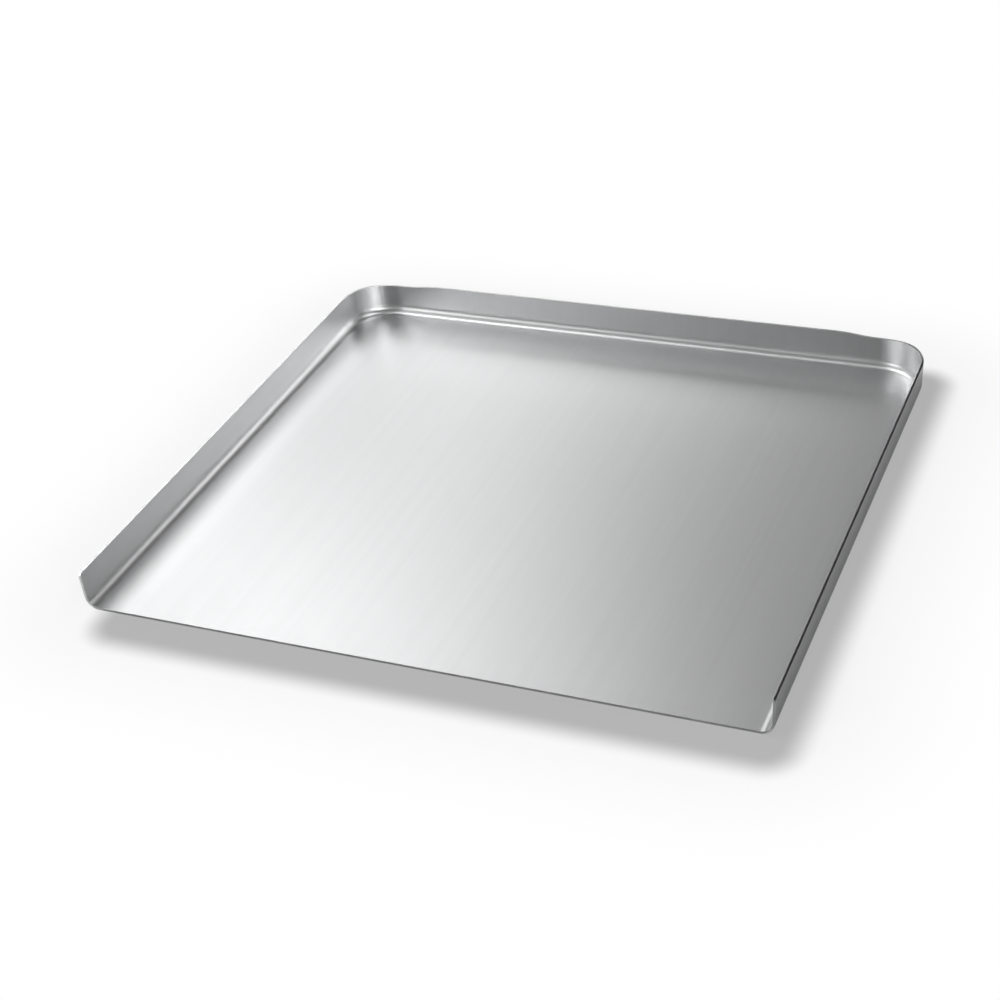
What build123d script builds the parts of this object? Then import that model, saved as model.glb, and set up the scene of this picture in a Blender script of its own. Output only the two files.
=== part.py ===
from build123d import *
import os
from math import cos, radians, tan

# Three-sided cookie sheet, pressed from one flat sheet of aluminium.
# The floor lies on XY with its underside at Z = 0, +Z is up, the open front faces -Y,
# and the origin is at the middle of the sheet's outline.

# Driving sizes, in millimetres
rim_width = 457.0  # outside of the left rim to outside of the right rim
rim_depth = 419.0  # open front edge to outside of the back rim
wall_height = 26.4  # underside of the floor to the cut rim
sheet_thickness = 1.6
inside_bend_radius = 7.6  # soft bend from the floor up into each wall
rear_corner_radius = 38.0  # outside of the rim, seen from above
front_corner_radius = 2.0  # rounded top corner at the open end of each side wall
edge_break = 0.3  # sharpness taken off every cut edge

# The back rim runs a little low where the metal was drawn into each rear corner
rim_dip_depth = 2.2
rim_dip_width = 70.0
rim_dip_clearance = 1.4  # from the inside of the side rim to the dip's outer end

# Lean of the three walls, in degrees away from upright
wall_lean = 2.5

# A face whose normal points up by more than this share is part of the rim's cut
upright_share = 0.9

# How far a wall leans out over its height, and over one thickness of sheet
lean_run = wall_height * tan(radians(wall_lean))
lean_run_of_floor = sheet_thickness * tan(radians(wall_lean))
# One thickness of sheet, measured level through a leaning wall
level_thickness = sheet_thickness / cos(radians(wall_lean))
outside_bend_radius = inside_bend_radius + sheet_thickness

# The forming blocks start this far in front of the open edge, past their own front bend
front_y = -rim_depth / 2
back_y = rim_depth / 2
front_offcut = 2 * outside_bend_radius
rim_overrun = sheet_thickness

# Each dip starts just inside the side wall, and is lowest about where the corner starts
rim_dip_x = rim_width / 2 - level_thickness - rim_dip_clearance - rim_dip_width / 2


def forming_block(inset, base_z, top_z, bend_radius):
    """Solid block that leans out like the walls, with a soft lower edge.

    inset is the distance of its base outline inside the rim's outside outline.
    """
    width = rim_width - 2 * inset
    front = front_y - front_offcut
    back = back_y - inset
    with BuildPart() as block:
        with BuildSketch(Plane.XY.offset(base_z)) as outline:
            with Locations((0, (front + back) / 2)):
                Rectangle(width, back - front)
            fillet(outline.vertices().group_by(Axis.Y)[-1], radius=rear_corner_radius - inset)
        extrude(amount=top_z - base_z, taper=-wall_lean)
        fillet(block.faces().sort_by(Axis.Z)[0].edges(), radius=bend_radius)
    return block.part


def rim_trimmer():
    """Prism above the rim, whose underside is level apart from the two dips in the back rim."""
    quarter_width = rim_dip_width / 4
    half_depth = rim_dip_depth / 2
    # The radius that drops by half the depth over a quarter of the width, starting level
    dip_radius = (quarter_width**2 + half_depth**2) / (2 * half_depth)
    side_x = rim_width / 2 + 2 * rim_overrun
    top_z = wall_height + 2 * rim_overrun
    with BuildPart() as trimmer:
        with BuildSketch(Plane.XZ.offset(-back_y - rim_overrun)):
            with BuildLine():
                last = (-side_x, wall_height)
                for middle_x in (-rim_dip_x, rim_dip_x):
                    dip_start = (middle_x - 2 * quarter_width, wall_height)
                    left_flank = (middle_x - quarter_width, wall_height - half_depth)
                    lowest = (middle_x, wall_height - rim_dip_depth)
                    right_flank = (middle_x + quarter_width, wall_height - half_depth)
                    dip_end = (middle_x + 2 * quarter_width, wall_height)
                    Line(last, dip_start)
                    RadiusArc(dip_start, left_flank, dip_radius)
                    RadiusArc(left_flank, lowest, -dip_radius)
                    RadiusArc(lowest, right_flank, -dip_radius)
                    RadiusArc(right_flank, dip_end, dip_radius)
                    last = dip_end
                Line(last, (side_x, wall_height))
                Polyline((side_x, wall_height), (side_x, top_z), (-side_x, top_z), (-side_x, wall_height))
            make_face()
        extrude(amount=rim_depth + front_offcut + 2 * rim_overrun)
    return trimmer.part


# The space that the outside of the tray fills, and the hollow that the sheet is pressed around.
# Both stand above the rim, which is trimmed to height afterwards.
outer_block = forming_block(lean_run, 0, wall_height + rim_overrun, outside_bend_radius)
hollow_block = forming_block(
    lean_run - lean_run_of_floor + level_thickness,
    sheet_thickness,
    wall_height + 2 * rim_overrun,
    inside_bend_radius,
)

with BuildPart() as pressed_sheet:
    add(outer_block)
    add(hollow_block, mode=Mode.SUBTRACT)

    # Trim the walls to height
    add(rim_trimmer(), mode=Mode.SUBTRACT)

    # Shear the front off, which leaves a plain front edge and two square wall ends
    split(bisect_by=Plane.XZ.offset(-front_y), keep=Keep.BOTTOM)
    front_face = faces().filter_by(Axis.Y).sort_by(Axis.Y)[0]

    # Round the top corner at the open end of each side wall
    fillet(front_face.edges().group_by(Axis.Z)[-1], radius=front_corner_radius)

    # Deburr both sides of the whole cut: back and side rims, wall ends and front edge
    rim_faces = faces().filter_by(
        lambda face: face.normal_at().Z > upright_share and face.center().Z > wall_height / 2
    )
    front_face = faces().filter_by(Axis.Y).sort_by(Axis.Y)[0]
    wall_end_corners = faces().filter_by(GeomType.CYLINDER).sort_by(SortBy.AREA)[:2]
    cut_faces = ShapeList([*rim_faces, front_face, *wall_end_corners])
    # An edge between two of these faces is smooth already; one at a single face borders the skin
    cut_edges = [edge for face in cut_faces for edge in face.edges()]
    skin_edges = ShapeList([edge for edge in cut_edges if cut_edges.count(edge) == 1])
    fillet(skin_edges, radius=edge_break)

pressed_sheet.part.label = "pressed_sheet"

os.makedirs("parts", exist_ok=True)
export_step(pressed_sheet.part, "parts/pressed_sheet.step")

size = pressed_sheet.part.bounding_box().size
print(f"sheet {size.X:.2f} x {size.Y:.2f} x {size.Z:.2f} mm, volume {pressed_sheet.part.volume:.0f} mm3")
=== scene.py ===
# %% [markdown]
# # A three-sided cookie sheet in satin aluminium
# The object is one flat blank of aluminium, pressed so that its left, back and right edges stand up as
# low walls. The front stays open, so that biscuits slide off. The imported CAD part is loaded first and
# stays fixed: it says how big the sheet is and where it stands, and the piece made here takes its place.

# %% The fixed frame
import bmesh
import bpy
import math
from mathutils import Matrix, Vector


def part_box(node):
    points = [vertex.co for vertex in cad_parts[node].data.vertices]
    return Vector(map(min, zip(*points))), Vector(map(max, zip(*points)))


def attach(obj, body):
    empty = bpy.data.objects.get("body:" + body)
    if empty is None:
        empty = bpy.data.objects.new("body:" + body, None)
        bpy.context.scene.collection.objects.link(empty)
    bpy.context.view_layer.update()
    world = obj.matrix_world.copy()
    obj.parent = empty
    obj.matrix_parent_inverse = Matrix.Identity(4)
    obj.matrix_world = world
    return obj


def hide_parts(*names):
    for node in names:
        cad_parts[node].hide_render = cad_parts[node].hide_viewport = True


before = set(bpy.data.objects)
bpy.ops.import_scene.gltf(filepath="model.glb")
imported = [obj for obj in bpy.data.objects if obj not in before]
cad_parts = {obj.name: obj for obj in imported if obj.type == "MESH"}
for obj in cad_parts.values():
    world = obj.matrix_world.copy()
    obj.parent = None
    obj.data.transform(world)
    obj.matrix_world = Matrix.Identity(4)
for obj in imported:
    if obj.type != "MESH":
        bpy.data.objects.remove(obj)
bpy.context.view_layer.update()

# %% [markdown]
# ## Sizes
# The three outside sizes are read from the CAD node, so they can't drift from it. The sizes that a maker
# would have on the drawing of the press tool follow in metres: metal thickness, bend and corner radii,
# and how far the walls lean out so that sheets can be lifted off the tool and stacked.

# %% Sizes of the sheet
MM = 0.001
sheet_low, sheet_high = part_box("pressed_sheet")
RIM_WIDTH = sheet_high[0] - sheet_low[0]
RIM_DEPTH = sheet_high[1] - sheet_low[1]
WALL_HEIGHT = sheet_high[2] - sheet_low[2]
THICKNESS = 1.6 * MM
BEND_RADIUS = 9.2 * MM  # outside of the bend
REAR_CORNER_RADIUS = 38 * MM  # outside of the rim, seen from above
FRONT_CORNER_RADIUS = 2 * MM  # top corner at the open end of each side wall
EDGE_BREAK = 0.3 * MM  # sharpness taken off the cut edges
LEAN = math.radians(2.5)
DIP_DEPTH = 2.2 * MM  # how far the back rim drops beside each rear corner
DIP_WIDTH = 70 * MM
DIP_CLEARANCE = 1.4 * MM  # from the inside of the side rim to the dip's outer end
print(f"sheet {RIM_WIDTH / MM:.1f} x {RIM_DEPTH / MM:.1f} x {WALL_HEIGHT / MM:.1f} mm")

# %% [markdown]
# ## The wall section
# Cut through a wall, the outside of the sheet is a straight, slightly leaning line, an arc and then the
# flat floor. Each point of that line is held as two numbers: how far it lies inside the rim, seen from
# above, and how high it is. A few rings of points follow on the floor, the first of them close to the
# bend, so that the shading of the bend ends where the bend does.

# %% Points of the wall section
WALL_STEPS = 4
BEND_STEPS = 14
RING_STEPS = 4  # on the floor, between the bend and the plain middle
FIRST_RING = 1.5 * MM  # from the bend

# The rim is cut square to the metal, so the outside of the wall ends a little below the inside
RIM_TOP = WALL_HEIGHT - THICKNESS * math.sin(LEAN)
BEND_TOP = BEND_RADIUS * (1 - math.sin(LEAN))
BEND_INSET = BEND_RADIUS * math.cos(LEAN) + (RIM_TOP - BEND_TOP) * math.tan(LEAN)


def wall_section(rim_height):
    """Inset and height of each point, from the rim down to the plain middle of the floor."""
    points = []
    for step in range(WALL_STEPS):
        height = rim_height + (BEND_TOP - rim_height) * step / WALL_STEPS
        points.append(((RIM_TOP - height) * math.tan(LEAN), height))
    for step in range(BEND_STEPS + 1):
        angle = LEAN + (math.pi / 2 - LEAN) * step / BEND_STEPS
        points.append((BEND_INSET - BEND_RADIUS * math.cos(angle), BEND_RADIUS * (1 - math.sin(angle))))
    ring_inset = BEND_INSET + FIRST_RING
    for step in range(RING_STEPS + 1):
        points.append((ring_inset + (REAR_CORNER_RADIUS - ring_inset) * step / RING_STEPS, 0.0))
    return points


print(f"a wall section has {len(wall_section(RIM_TOP))} points")

# %% [markdown]
# ## The low places of the back rim
# Pressing a round corner from a flat blank draws metal in, and the rim beside the corner ends up a little
# low. The photograph shows it at both rear corners as a shallow dip. Its outline is four arcs that meet
# without a kink: level, down, level, up and level again. A cosine would do as well; arcs are what the CAD
# part has, and the two should agree.

# %% Depth of the dip at each place along the back
DIP_QUARTER = DIP_WIDTH / 4
DIP_RADIUS = (DIP_QUARTER ** 2 + (DIP_DEPTH / 2) ** 2) / DIP_DEPTH
DIP_X = RIM_WIDTH / 2 - THICKNESS / math.cos(LEAN) - DIP_CLEARANCE - DIP_WIDTH / 2


def rim_dip(x):
    """How far the back rim lies below its full height at this x."""
    away = abs(abs(x) - DIP_X)
    if away >= 2 * DIP_QUARTER:
        return 0.0
    if away >= DIP_QUARTER:
        return DIP_RADIUS - math.sqrt(DIP_RADIUS ** 2 - (2 * DIP_QUARTER - away) ** 2)
    return DIP_DEPTH - DIP_RADIUS + math.sqrt(DIP_RADIUS ** 2 - away ** 2)


print(f"the back rim is lowest at x = {DIP_X / MM:.1f} mm, by {rim_dip(DIP_X) / MM:.1f} mm")

# %% [markdown]
# ## The way round the rim
# The section is carried along the left wall, round the rear left corner, along the back, round the other
# corner and forward again. Round a corner only the direction turns, so each station is kept as a fixed
# point on the floor, the direction that faces out of the sheet there, and the height of the rim. At the
# open front the rim comes down in a quarter circle, which is the rounded top corner of the wall.

# %% Stations along the side walls
SIDE_STEPS = 32
FRONT_CORNER_STEPS = 6
FRONT_Y = sheet_low[1]
CORNER_Y = sheet_high[1] - REAR_CORNER_RADIUS


def side_places():
    """Distance from the open front and rim height of each station along a side wall."""
    places = []
    for step in range(FRONT_CORNER_STEPS):
        angle = math.pi / 2 * step / FRONT_CORNER_STEPS
        drop = FRONT_CORNER_RADIUS * (1 - math.sin(angle))
        places.append((FRONT_CORNER_RADIUS * (1 - math.cos(angle)), RIM_TOP - drop))
    length = CORNER_Y - FRONT_Y - FRONT_CORNER_RADIUS
    for step in range(SIDE_STEPS + 1):
        places.append((FRONT_CORNER_RADIUS + length * step / SIDE_STEPS, RIM_TOP))
    return places


print(len(side_places()), "stations along each side wall")

# %% Stations round the whole rim
BACK_STEPS = 64
CORNER_STEPS = 24
HALF_INNER_WIDTH = RIM_WIDTH / 2 - REAR_CORNER_RADIUS


def rear_station(anchor, out):
    """A station on the back half of the rim, where the rim may be low."""
    rim_x = anchor.x + out.x * REAR_CORNER_RADIUS
    return anchor, out, RIM_TOP - rim_dip(rim_x)


def rim_stations():
    """Anchor, outward direction and rim height, from the front left round to the front right."""
    left = []
    for away, top in side_places():
        left.append((Vector((-HALF_INNER_WIDTH, FRONT_Y + away)), Vector((-1, 0)), top))
    rear_left = []
    for step in range(1, CORNER_STEPS + 1):
        turn = math.pi / 2 * step / CORNER_STEPS
        rear_left.append(rear_station(left[-1][0], Vector((-math.cos(turn), math.sin(turn)))))
    back = []
    for step in range(1, BACK_STEPS):
        x = -HALF_INNER_WIDTH + 2 * HALF_INNER_WIDTH * step / BACK_STEPS
        back.append(rear_station(Vector((x, CORNER_Y)), Vector((0, 1))))
    right = []
    for anchor, out, top in reversed(left + rear_left):
        right.append((Vector((-anchor.x, anchor.y)), Vector((-out.x, out.y)), top))
    return left + rear_left + back + right


stations = rim_stations()
print(f"{len(stations)} stations round the rim")

# %% [markdown]
# ## Points of the skin
# The outside of the sheet is built as one skin. Round the edge its points follow the section and the
# stations; the plain middle of the floor is a grid between the left and right stations. Each point also
# gets its place on the flat blank, measured along the metal, because the rolling grain was there before
# the walls were pressed up.

# %% Rows of skin points
def metal_lengths(section):
    """How far each section point lies from the plain middle, measured along the metal."""
    lengths = [0.0]
    for (inset, height), (next_inset, next_height) in zip(section[::-1], section[-2::-1]):
        lengths.append(lengths[-1] + math.hypot(next_inset - inset, next_height - height))
    return lengths[::-1]


def border_rows():
    """For each station, the skin points and their places on the blank, rim first."""
    rows = []
    for anchor, out, top in stations:
        section = wall_section(top)
        row = []
        for (inset, height), metal in zip(section, metal_lengths(section)):
            plan = anchor + out * (REAR_CORNER_RADIUS - inset)
            blank = anchor + out * metal
            row.append((Vector((plan.x, plan.y, height)), blank))
        rows.append(row)
    return rows


def middle_rows():
    """The plain middle of the floor, from the left stations to the right ones."""
    rows = []
    for away, _ in side_places():
        row = []
        for step in range(BACK_STEPS + 1):
            x = -HALF_INNER_WIDTH + 2 * HALF_INNER_WIDTH * step / BACK_STEPS
            row.append((Vector((x, FRONT_Y + away, 0)), Vector((x, FRONT_Y + away))))
        rows.append(row)
    return rows


skin_grids = [border_rows(), middle_rows()]
print("rows round the edge and in the middle:", [len(rows) for rows in skin_grids])

# %% [markdown]
# ## Faces of the skin
# The rows are joined by four-sided faces, which shade more evenly than triangles, and the places on the
# blank become a UV map in metres. The direction through the metal is kept at each point too, because the
# marks of the shears follow it later, on the cut edge.

# %% Build the outside skin
BLANK_MAP = "flat_blank"
THROUGH_METAL = "through_metal"
WELD = 0.01 * MM  # points that lie closer together than this are one


def add_grid(mesh, blank_layer, rows):
    """Joins rows of points by four-sided faces and writes their places on the blank."""
    made = [[mesh.verts.new(point) for point, _ in row] for row in rows]
    for r in range(len(rows) - 1):
        for c in range(len(rows[0]) - 1):
            corners = [(r, c), (r + 1, c), (r + 1, c + 1), (r, c + 1)]
            face = mesh.faces.new([made[i][j] for i, j in corners])
            for loop, (i, j) in zip(face.loops, corners):
                loop[blank_layer].uv = rows[i][j][1]


def build_skin():
    """The outside of the sheet as one object, whose faces look outward."""
    mesh = bmesh.new()
    blank_layer = mesh.loops.layers.uv.new(BLANK_MAP)
    for rows in skin_grids:
        add_grid(mesh, blank_layer, rows)
    bmesh.ops.remove_doubles(mesh, verts=mesh.verts, dist=WELD)
    bmesh.ops.recalc_face_normals(mesh, faces=mesh.faces)
    floor_face = min(mesh.faces, key=lambda face: face.calc_center_median().length)
    if floor_face.normal.z > 0:
        bmesh.ops.reverse_faces(mesh, faces=mesh.faces)
    data = bpy.data.meshes.new("cookie_sheet")
    mesh.to_mesh(data)
    mesh.free()
    data.shade_smooth()
    through = data.attributes.new(THROUGH_METAL, "FLOAT_VECTOR", "POINT")
    for point, normal in zip(through.data, data.vertex_normals):
        point.vector = normal.vector
    piece = bpy.data.objects.new("cookie_sheet", data)
    bpy.context.scene.collection.objects.link(piece)
    return piece


cookie_sheet = build_skin()
print(f"skin: {len(cookie_sheet.data.vertices)} points, {len(cookie_sheet.data.polygons)} faces")

# %% [markdown]
# ## One thickness of metal
# A pressed sheet is equally thick everywhere, so the Solidify modifier grows the skin inward by the
# thickness of the metal. It gives the inside the second material slot, and the rim and the front edge
# the third, for the sheared cut. A small Bevel takes the sharpness off the cut edges, and Weighted
# Normal keeps the flat areas shading flat beside it.

# %% Thickness and deburred edges
DEBURR_STEPS = 3
CUT_ANGLE = math.radians(50)  # only the edges of the cut turn by more than this

thickness = cookie_sheet.modifiers.new("one_thickness", "SOLIDIFY")
thickness.thickness = THICKNESS
thickness.offset = -1  # all of it inward
thickness.use_even_offset = True
thickness.material_offset = 1
thickness.material_offset_rim = 2
deburr = cookie_sheet.modifiers.new("deburred_edges", "BEVEL")
deburr.width = EDGE_BREAK
deburr.segments = DEBURR_STEPS
deburr.limit_method = "ANGLE"
deburr.angle_limit = CUT_ANGLE
flat_shading = cookie_sheet.modifiers.new("flat_areas_stay_flat", "WEIGHTED_NORMAL")
flat_shading.keep_sharp = True

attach(cookie_sheet, "root")
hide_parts("pressed_sheet")
print("modifiers:", [modifier.name for modifier in cookie_sheet.modifiers])

# %% [markdown]
# ## What satin aluminium looks like
# Sheet aluminium leaves the rolls with grooves that are too fine to count. They run along the blank, so
# a lamp's reflection is drawn out across them, and every few tenths of a millimetre the gloss differs a
# little. Over a few centimetres the surface is also slightly cloudy, from the lubricant and the sheet's
# own crystals. These effects are made once, as node groups that give plain numbers, and each material
# places them with its own values.

# %% Helpers for nodes
def effect_group(name, inputs):
    """Empty shader node group: a place and named numbers go in, one number comes out."""
    group = bpy.data.node_groups.new(name, "ShaderNodeTree")
    group.interface.new_socket("Place", in_out="INPUT", socket_type="NodeSocketVector")
    for label, value in inputs:
        socket = group.interface.new_socket(label, in_out="INPUT", socket_type="NodeSocketFloat")
        socket.default_value = value
    group.interface.new_socket("Amount", in_out="OUTPUT", socket_type="NodeSocketFloat")
    return group, group.nodes.new("NodeGroupInput"), group.nodes.new("NodeGroupOutput")


def calculation(tree, kind, operation, values):
    """A Math or Vector Math node whose inputs are sockets or plain values."""
    node = tree.nodes.new(kind)
    node.operation = operation
    for socket, value in zip(node.inputs, values):
        if isinstance(value, bpy.types.NodeSocket):
            tree.links.new(value, socket)
        else:
            socket.default_value = value
    return node


def math_node(tree, operation, first, second):
    """Works out a number from two others."""
    return calculation(tree, "ShaderNodeMath", operation, (first, second)).outputs["Value"]


def vector_node(tree, operation, *values):
    """Works out a Vector, or for a length a Value, and returns both outputs."""
    return calculation(tree, "ShaderNodeVectorMath", operation, values).outputs


# %% [markdown]
# ## Rolling grain
# The grain is noise that is squeezed across the grooves and drawn out along them. Its place comes in
# metres, so the width and length of a groove are real sizes. Dividing the place by them gives a noise
# that is one unit wide per groove.

# %% Rolling grain group
groove_sizes = [("Groove Width", 0.4 * MM), ("Groove Length", 60 * MM)]
grain_group, ins, outs = effect_group("rolling_grain", groove_sizes)
nodes, links = grain_group.nodes, grain_group.links
split = nodes.new("ShaderNodeSeparateXYZ")
links.new(ins.outputs["Place"], split.inputs[0])
squeezed = nodes.new("ShaderNodeCombineXYZ")
across = math_node(grain_group, "DIVIDE", split.outputs["X"], ins.outputs["Groove Width"])
along = math_node(grain_group, "DIVIDE", split.outputs["Y"], ins.outputs["Groove Length"])
links.new(across, squeezed.inputs["X"])
links.new(along, squeezed.inputs["Y"])
grooves = nodes.new("ShaderNodeTexNoise")
grooves.inputs["Scale"].default_value = 1
grooves.inputs["Detail"].default_value = 3
grooves.inputs["Roughness"].default_value = 0.65
links.new(squeezed.outputs[0], grooves.inputs["Vector"])
links.new(grooves.outputs[0], outs.inputs["Amount"])
print("inputs of rolling_grain:", [socket.name for socket in ins.outputs if socket.name])

# %% [markdown]
# ## Cloudiness
# Soft patches of one size are plain noise with little detail. The same group serves the broad cloudiness
# of the sheet, its faint waviness and the small marks of the shears, only at other sizes.

# %% Soft patches group
patch_sizes = [("Patch Size", 15 * MM), ("Detail", 2)]
patch_group, ins, outs = effect_group("soft_patches", patch_sizes)
nodes, links = patch_group.nodes, patch_group.links
scale = nodes.new("ShaderNodeVectorMath")
scale.operation = "SCALE"
links.new(ins.outputs["Place"], scale.inputs[0])
links.new(math_node(patch_group, "DIVIDE", 1.0, ins.outputs["Patch Size"]), scale.inputs["Scale"])
clouds = nodes.new("ShaderNodeTexNoise")
clouds.inputs["Scale"].default_value = 1
clouds.inputs["Roughness"].default_value = 0.45
links.new(scale.outputs[0], clouds.inputs["Vector"])
links.new(ins.outputs["Detail"], clouds.inputs["Detail"])
links.new(clouds.outputs[0], outs.inputs["Amount"])
print("inputs of soft_patches:", [socket.name for socket in ins.outputs if socket.name])

# %% [markdown]
# ## From an effect to a finish
# Each material places the effects with its own sizes and spreads their amounts over a range of
# roughness, colour or height. Noise seldom leaves the middle part of its range, so that part is
# stretched over the whole of the new one.

# %% Helpers for materials
NOISE_LOW = 0.3
NOISE_HIGH = 0.7


def new_material(name):
    """A material, its node tree and its Principled shader."""
    material = bpy.data.materials.new(name)
    material.use_nodes = True
    tree = material.node_tree
    return material, tree, tree.nodes["Principled BSDF"]


def add_effect(tree, group, place, values):
    """Places an effect group in a material and returns its output socket."""
    node = tree.nodes.new("ShaderNodeGroup")
    node.node_tree = group
    tree.links.new(place, node.inputs["Place"])
    for label, value in values.items():
        node.inputs[label].default_value = value
    return node.outputs["Amount"]


def spread(tree, amount, low, high):
    """Turns an amount of noise into a value from low to high."""
    node = tree.nodes.new("ShaderNodeMapRange")
    node.inputs["From Min"].default_value = NOISE_LOW
    node.inputs["From Max"].default_value = NOISE_HIGH
    node.inputs["To Min"].default_value = low
    node.inputs["To Max"].default_value = high
    tree.links.new(amount, node.inputs["Value"])
    return node.outputs["Result"]


def two_tones(tree, amount, dark_tone, light_tone):
    """A colour that an amount of noise takes from the dark tone to the light one."""
    tone = tree.nodes.new("ShaderNodeMix")
    tone.data_type = "RGBA"
    tone.inputs["A"].default_value = (*dark_tone, 1)
    tone.inputs["B"].default_value = (*light_tone, 1)
    tree.links.new(spread(tree, amount, 0.0, 1.0), tone.inputs["Factor"])
    return tone.outputs["Result"]


def bump(tree, amount, height):
    """A Bump node that raises the surface by this height where the amount is 1."""
    node = tree.nodes.new("ShaderNodeBump")
    node.inputs["Strength"].default_value = 1
    node.inputs["Distance"].default_value = height
    tree.links.new(amount, node.inputs["Height"])
    return node


print("noise from", NOISE_LOW, "to", NOISE_HIGH, "is spread over a whole range")

# %% [markdown]
# ## The satin finish
# The metal is one Principled shader. Its colour is a light neutral grey, a touch cool. Anisotropy draws
# the highlights out across the grooves; the Tangent node takes their direction from the blank's UV map,
# so the grain turns up with each wall as it does on the pressed sheet. The tone differs a touch from one
# broad band of the grain to the next. Roughness varies a little with the grooves and the clouds, and a
# very low bump lets the light catch the grooves and a faint waviness. The underside and the outside of
# the walls get a darker grey than the inside: painted shade for the dark that they mirror.

# %% Satin aluminium
FINE_GROOVES = {"Groove Width": 0.35 * MM, "Groove Length": 70 * MM}
BROAD_BANDS = {"Groove Width": 6 * MM, "Groove Length": 400 * MM}
CLOUDS = {"Patch Size": 14 * MM, "Detail": 2}
WAVES = {"Patch Size": 90 * MM, "Detail": 1}
GRAIN_GLOSS = 0.008  # how far the grooves take the roughness up and down
CLOUD_GLOSS = 0.006
GRAIN_HEIGHT = 0.0004 * MM
WAVE_HEIGHT = 0.02 * MM
SATIN_ANISOTROPY = 0.5


def satin_face(name, dark_tone, light_tone, roughness):
    """Satin aluminium with rolling grain, in the tones and roughness given for one face of the sheet."""
    material, tree, shader = new_material(name)
    nodes, links = tree.nodes, tree.links
    shader.inputs["Metallic"].default_value = 1
    shader.inputs["Anisotropic"].default_value = SATIN_ANISOTROPY
    grain_direction = nodes.new("ShaderNodeTangent")
    grain_direction.direction_type = "UV_MAP"
    grain_direction.uv_map = BLANK_MAP
    links.new(grain_direction.outputs["Tangent"], shader.inputs["Tangent"])

    blank_place = nodes.new("ShaderNodeUVMap")
    blank_place.uv_map = BLANK_MAP
    blank = blank_place.outputs["UV"]
    grain = add_effect(tree, grain_group, blank, FINE_GROOVES)
    bands = add_effect(tree, grain_group, blank, BROAD_BANDS)
    clouds = add_effect(tree, patch_group, blank, CLOUDS)
    waves = add_effect(tree, patch_group, blank, WAVES)

    by_grain = spread(tree, grain, roughness - GRAIN_GLOSS, roughness + GRAIN_GLOSS)
    by_clouds = spread(tree, clouds, -CLOUD_GLOSS, CLOUD_GLOSS)
    links.new(math_node(tree, "ADD", by_grain, by_clouds), shader.inputs["Roughness"])
    links.new(two_tones(tree, bands, dark_tone, light_tone), shader.inputs["Base Color"])

    grain_bump = bump(tree, grain, GRAIN_HEIGHT)
    wave_bump = bump(tree, waves, WAVE_HEIGHT)
    links.new(wave_bump.outputs["Normal"], grain_bump.inputs["Normal"])
    links.new(grain_bump.outputs["Normal"], shader.inputs["Normal"])
    cookie_sheet.data.materials.append(material)
    print(name, "has", len(nodes), "nodes")


# The outside is a darker copy of the inside: painted shade for the dark that the outside of the walls
# mirrors.
satin_face("satin_outside", (0.52, 0.525, 0.53), (0.55, 0.555, 0.56), roughness=0.38)
satin_face("satin_inside", (0.765, 0.77, 0.775), (0.79, 0.795, 0.80), roughness=0.385)

# %% [markdown]
# ## The sheared cut
# Where shears cut the metal, the edge is first burnished by the blade and then torn. So it is smooth in
# some places, rough in others and a little darker than the satin inside, with marks a few tenths of a
# millimetre apart. The blade's strokes run through the metal, so a highlight is drawn out along the cut:
# the tangent is square to the surface and to the direction through the metal. The rim faces have no area
# on the blank, so this material takes its place from the object's own coordinates.

# %% Sheared edge
SHEAR_MARKS = {"Patch Size": 0.4 * MM, "Detail": 3}
BURNISH = {"Patch Size": 12 * MM, "Detail": 2}
CUT_DARK_TONE = (0.60, 0.605, 0.61)
CUT_LIGHT_TONE = (0.72, 0.725, 0.73)
CUT_SMOOTHEST = 0.30
CUT_ROUGHEST = 0.50
CUT_ANISOTROPY = 0.9
MARK_HEIGHT = 0.01 * MM

cut, tree, shader = new_material("sheared_edge")
nodes, links = tree.nodes, tree.links
shader.inputs["Metallic"].default_value = 1
shader.inputs["Anisotropic"].default_value = CUT_ANISOTROPY
through_metal = nodes.new("ShaderNodeAttribute")
through_metal.attribute_name = THROUGH_METAL
cut_normal = nodes.new("ShaderNodeNewGeometry").outputs["Normal"]
along_cut = vector_node(tree, "CROSS_PRODUCT", cut_normal, through_metal.outputs["Vector"])
links.new(along_cut["Vector"], shader.inputs["Tangent"])

object_place = nodes.new("ShaderNodeTexCoord").outputs["Object"]
marks = add_effect(tree, patch_group, object_place, SHEAR_MARKS)
burnish = add_effect(tree, patch_group, object_place, BURNISH)
links.new(spread(tree, marks, CUT_SMOOTHEST, CUT_ROUGHEST), shader.inputs["Roughness"])
links.new(two_tones(tree, burnish, CUT_DARK_TONE, CUT_LIGHT_TONE), shader.inputs["Base Color"])
links.new(bump(tree, marks, MARK_HEIGHT).outputs["Normal"], shader.inputs["Normal"])
cookie_sheet.data.materials.append(cut)
print("the rim and the front edge use", cut.name)

# %% [markdown]
# ## Measuring on the paper
# The sheet lies on matt white paper, whose tone, with a painted shadow in it, depends on how far a place
# lies from the outline of the sheet and from that of its shadow. The distance to a rounded outline is a
# short sum: fold the place into one quarter, take off the straight part, measure what is left and take
# off the corner radius. A soft step then turns the distance into a tone or a share.

# %% Helpers for the paper
def outline_distance(tree, place, depth, corner_radius):
    """Distance from an outline as wide as the sheet; places inside it give a negative number."""
    straight = (RIM_WIDTH / 2 - corner_radius, depth / 2 - corner_radius, 0)
    folded = vector_node(tree, "ABSOLUTE", place)["Vector"]
    beyond = vector_node(tree, "SUBTRACT", folded, straight)["Vector"]
    left_over = vector_node(tree, "MAXIMUM", beyond, (0, 0, 0))["Vector"]
    length = vector_node(tree, "LENGTH", left_over)["Value"]
    return math_node(tree, "SUBTRACT", length, corner_radius)


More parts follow.
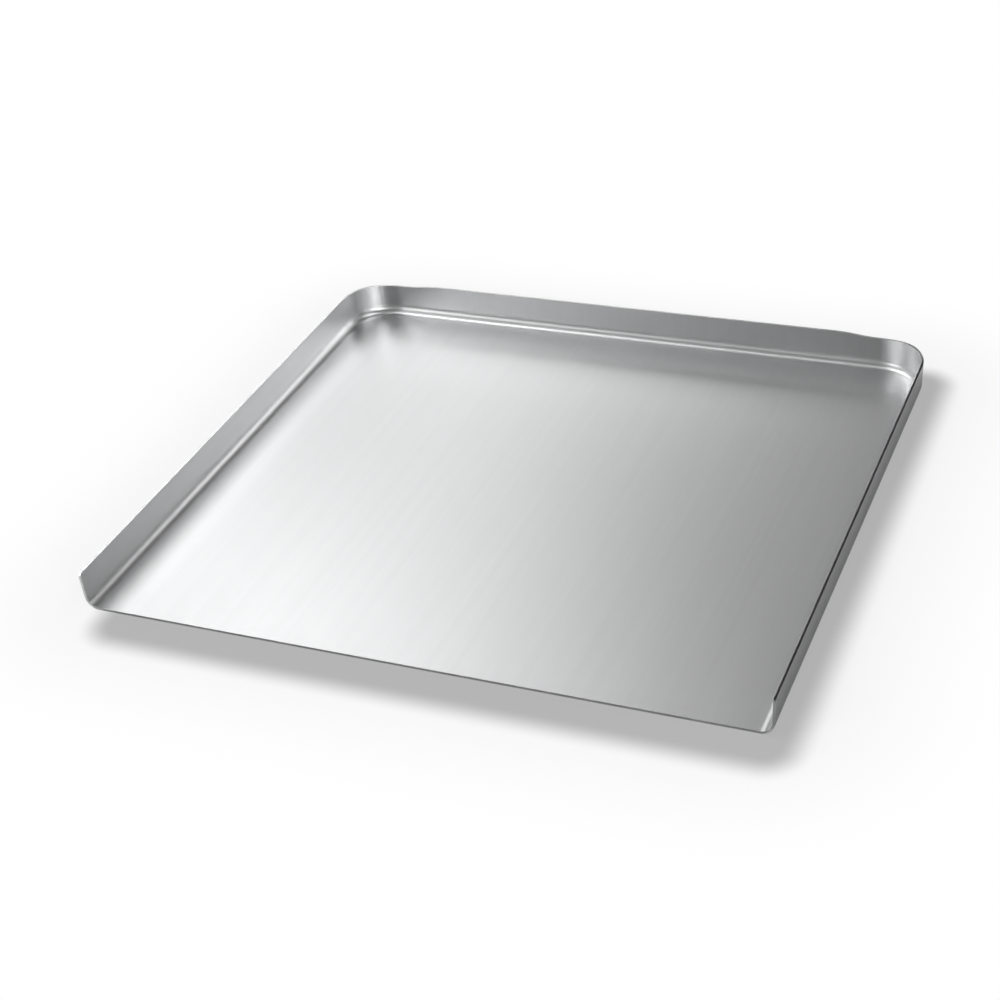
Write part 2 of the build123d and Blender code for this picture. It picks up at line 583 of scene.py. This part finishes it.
def fade(tree, value, start, end, low, high):
    """Soft step from low to high while value goes from start to end."""
    node = tree.nodes.new("ShaderNodeMapRange")
    node.interpolation_type = "SMOOTHSTEP"
    for label, bound in (("From Min", start), ("From Max", end), ("To Min", low), ("To Max", high)):
        node.inputs[label].default_value = bound
    tree.links.new(value, node.inputs["Value"])
    return node.outputs["Result"]


# %% [markdown]
# ## Painted shadow on the paper
# As in most catalogue pictures the paper looks even white in the photograph, apart from one soft grey
# shadow in the shape of the sheet, which shows on the right and in front. Lamps alone would shade the
# paper unevenly, so that shadow is painted: a tone map, white everywhere and grey inside an outline that
# is moved a little to the right, starts at the back of the sheet and reaches out past its front. The same
# painted shadow darkens the colour of the lit paper under the map.

# %% Painted shadow on the paper
# The shadow on the paper is painted, not cast by the lamps: these are its place, its soft edge and its
# grey.
SHADOW_RIGHT = 15 * MM  # how far the shadow is moved to the right
SHADOW_REACH = 30 * MM  # past the open front of the sheet
SHADOW_CORNER_RADIUS = 20 * MM
SHADOW_EDGE = 22 * MM  # width of the soft edge
SHADOW_TONE = 0.5
PAPER_WHITE = 0.9  # how much light white paper gives back

paper, tree, shader = new_material("pale_paper")
nodes, links = tree.nodes, tree.links
shader.inputs["Roughness"].default_value = 1
shader.inputs["Specular IOR Level"].default_value = 0

paper_place = nodes.new("ShaderNodeTexCoord").outputs["Object"]
shadow_middle = (SHADOW_RIGHT, -SHADOW_REACH / 2, 0)
shadow_place = vector_node(tree, "SUBTRACT", paper_place, shadow_middle)["Vector"]
shadow_distance = outline_distance(tree, shadow_place, RIM_DEPTH + SHADOW_REACH, SHADOW_CORNER_RADIUS)
# Painted shadow: grey inside the moved outline, white outside it.
painted_shadow_tone = fade(tree, shadow_distance, -SHADOW_EDGE / 2, SHADOW_EDGE / 2, SHADOW_TONE, 1)
# The painted shadow darkens the colour of the lit paper as well.
links.new(math_node(tree, "MULTIPLY", painted_shadow_tone, PAPER_WHITE), shader.inputs["Base Color"])
print("the shadow reaches", round(SHADOW_REACH / MM), "mm past the open front")

# %% [markdown]
# ## Which rays see the painted shadow
# The map with the painted shadow is mixed over the lit paper by the kind of ray alone. The camera sees
# mostly the map, with a little of the lit paper below it near the sheet, where the real shadows are.
# Reflections see lit paper close to the sheet, whose colour carries the painted shadow too, and the map
# further away: the outside of a wall mirrors the paper at its foot, and stays dark there as in the
# photograph.

# %% Lay the paper
FLOOR_SIZE = 60.0
FLOOR_GAP = 0.05 * MM  # keeps the paper just under the sheet
LIT_SHARE = 0.2  # of the lit paper, in what the camera sees beside the sheet
LIT_TO = 120 * MM  # from the sheet's outline, for the camera
MIRRORED_FROM = 15 * MM  # from the sheet's outline, for reflections
MIRRORED_TO = 300 * MM

sheet_distance = outline_distance(tree, paper_place, RIM_DEPTH, REAR_CORNER_RADIUS)
camera_share = fade(tree, sheet_distance, 0, LIT_TO, 1 - LIT_SHARE, 1)
mirror_share = fade(tree, sheet_distance, MIRRORED_FROM, MIRRORED_TO, 0, 1)
ray = nodes.new("ShaderNodeLightPath").outputs
other_rays = math_node(tree, "MAXIMUM", ray["Is Glossy Ray"], ray["Is Transmission Ray"])
for_camera = math_node(tree, "MULTIPLY", camera_share, ray["Is Camera Ray"])
for_others = math_node(tree, "MULTIPLY", mirror_share, other_rays)
# The paper's glow carries the painted shadow: its strength is the painted shadow tone.
painted_shadow_glow = nodes.new("ShaderNodeEmission")
painted_shadow_glow.inputs["Color"].default_value = (1, 1, 1, 1)
links.new(painted_shadow_tone, painted_shadow_glow.inputs["Strength"])
mix = nodes.new("ShaderNodeMixShader")
links.new(math_node(tree, "ADD", for_camera, for_others), mix.inputs["Fac"])
links.new(shader.outputs["BSDF"], mix.inputs[1])
links.new(painted_shadow_glow.outputs["Emission"], mix.inputs[2])
links.new(mix.outputs["Shader"], nodes["Material Output"].inputs["Surface"])

half = FLOOR_SIZE / 2
floor_mesh = bpy.data.meshes.new("studio_floor")
floor_corners = [(-half, -half, 0), (half, -half, 0), (half, half, 0), (-half, half, 0)]
floor_mesh.from_pydata(floor_corners, [], [(0, 1, 2, 3)])
floor_mesh.materials.append(paper)
studio_floor = bpy.data.objects.new("studio_floor", floor_mesh)
studio_floor.location.z = -FLOOR_GAP
bpy.context.scene.collection.objects.link(studio_floor)
print("paper:", FLOOR_SIZE, "m wide,", len(nodes), "nodes")

# %% [markdown]
# ## Studio around the sheet
# The camera sees plain white beyond the paper. Metal shows what is round it, so for reflections only a
# low white backdrop stands there, just above the horizon, and the studio is dark over it. A studio that
# was white all round would leave the sheet pale and flat, without its dark lines in the bends.

# %% Studio around the sheet
BACKDROP_TOP = 0.012  # as the sine of the angle above the floor
DARK_FROM = 0.03
world = bpy.data.worlds.new("studio")
world.use_nodes = True
nodes, links = world.node_tree.nodes, world.node_tree.links
ray_direction = nodes.new("ShaderNodeSeparateXYZ")
links.new(nodes.new("ShaderNodeTexCoord").outputs["Generated"], ray_direction.inputs[0])
backdrop = fade(world.node_tree, ray_direction.outputs["Z"], BACKDROP_TOP, DARK_FROM, 1, 0)
camera_ray = nodes.new("ShaderNodeLightPath").outputs["Is Camera Ray"]
seen_white = math_node(world.node_tree, "MAXIMUM", backdrop, camera_ray)
links.new(seen_white, nodes["Background"].inputs["Strength"])
nodes["Background"].inputs["Color"].default_value = (1, 1, 1, 1)
bpy.context.scene.world = world
print("the backdrop reaches", round(math.degrees(math.asin(BACKDROP_TOP)), 1), "degrees above the floor")

# %% [markdown]
# ## Lamps
# Metal shows its lamps more than it is lit by them, so each part of the sheet has its own softboxes. The
# floor of the sheet mirrors the lamps behind it: more light stands at the back left than at the back
# right, which is why the floor fades from left to right. The left wall mirrors the lamps at the back
# right, and the back wall, by way of the floor, those in front. The high lamps on the left and the right
# draw the bright lines along the bend below the back wall. The outside of the right wall mirrors the
# paper at its foot, where the real shadow and the painted one lie, and its own grey is darkened as
# painted shade, so it stays dark.

# %% Softboxes
def softbox(name, azimuth, elevation, distance, width, height, watts):
    """A flat lamp that faces the sheet; azimuth is clockwise from the back, seen from above."""
    around, up = math.radians(azimuth), math.radians(elevation)
    away = Vector((math.sin(around) * math.cos(up), math.cos(around) * math.cos(up), math.sin(up)))
    lamp_data = bpy.data.lights.new(name, "AREA")
    lamp_data.shape = "RECTANGLE"
    lamp_data.size = width
    lamp_data.size_y = height
    lamp_data.energy = watts
    lamp = bpy.data.objects.new(name, lamp_data)
    lamp.location = away * distance
    lamp.rotation_mode = "QUATERNION"
    lamp.rotation_quaternion = away.to_track_quat("Z", "Y")
    bpy.context.scene.collection.objects.link(lamp)


SOFTBOX_DISTANCE = 2.2
SOFTBOXES = [
    # name, azimuth and elevation in degrees, width and height in metres, watts
    ("left_low", -90, 20, 0.5, 0.5, 1.8),
    ("left_high", -75, 48, 0.5, 0.5, 7.8),
    ("left_top", -90, 62, 0.5, 0.5, 3.7),
    ("back_left", -45, 41, 0.5, 1.0, 3.5),
    ("back_low", -23, 20, 0.8, 0.5, 2.7),
    ("back", -31, 40, 0.5, 1.0, 2.3),
    ("back_middle", 15, 34, 0.5, 0.5, 1.0),
    ("back_right", 31, 27, 0.5, 1.0, 4.1),
    ("right", 105, 20, 0.5, 0.5, 1.4),
    ("right_top", 90, 62, 0.8, 0.8, 7.2),
    ("front_right", 135, 20, 0.5, 0.5, 13.0),
    ("front_left", -132, 33, 0.5, 0.5, 3.1),
    ("front_left_low", -135, 20, 0.5, 0.5, 6.0),
    ("front_left_high", -118, 50, 0.5, 0.5, 1.8),
]
for name, azimuth, elevation, width, height, watts in SOFTBOXES:
    softbox(name, azimuth, elevation, SOFTBOX_DISTANCE, width, height, watts)
print(len(SOFTBOXES), "softboxes,", round(sum(box[-1] for box in SOFTBOXES)), "W together")

# %% [markdown]
# ## Camera
# The camera was worked out from the photograph: the straight rims give the directions in which parallel
# edges meet, and the rim width gives the scale. It stands at the front right, looks down by 33 degrees
# and is rolled by 6 degrees, so it is placed by its directions rather than by a target.

# %% Camera at the photograph's place
LENS = 70.1  # millimetres
SENSOR_WIDTH = 36  # millimetres
CAMERA_PLACE = (0.46143, -1.02087, 0.71840)
FORWARD = Vector((-0.36153, 0.75616, -0.54545))
RIGHTWARD = Vector((0.92206, 0.37668, -0.08895))

camera_data = bpy.data.cameras.new("photo_view")
camera_data.lens = LENS
camera_data.sensor_width = SENSOR_WIDTH
camera = bpy.data.objects.new("photo_view", camera_data)
bpy.context.scene.collection.objects.link(camera)
camera.location = CAMERA_PLACE
upward = RIGHTWARD.cross(FORWARD)
camera.rotation_mode = "QUATERNION"
camera.rotation_quaternion = Matrix((RIGHTWARD, upward, -FORWARD)).transposed().to_quaternion()
bpy.context.scene.camera = camera
bpy.context.scene.view_settings.view_transform = "Standard"
print("camera", round(camera.location.length, 2), "m from the middle of the sheet")

# %% [markdown]
# ## Finish
# The view layer is brought up to date at the end.

# %% Finish
bpy.context.view_layer.update()
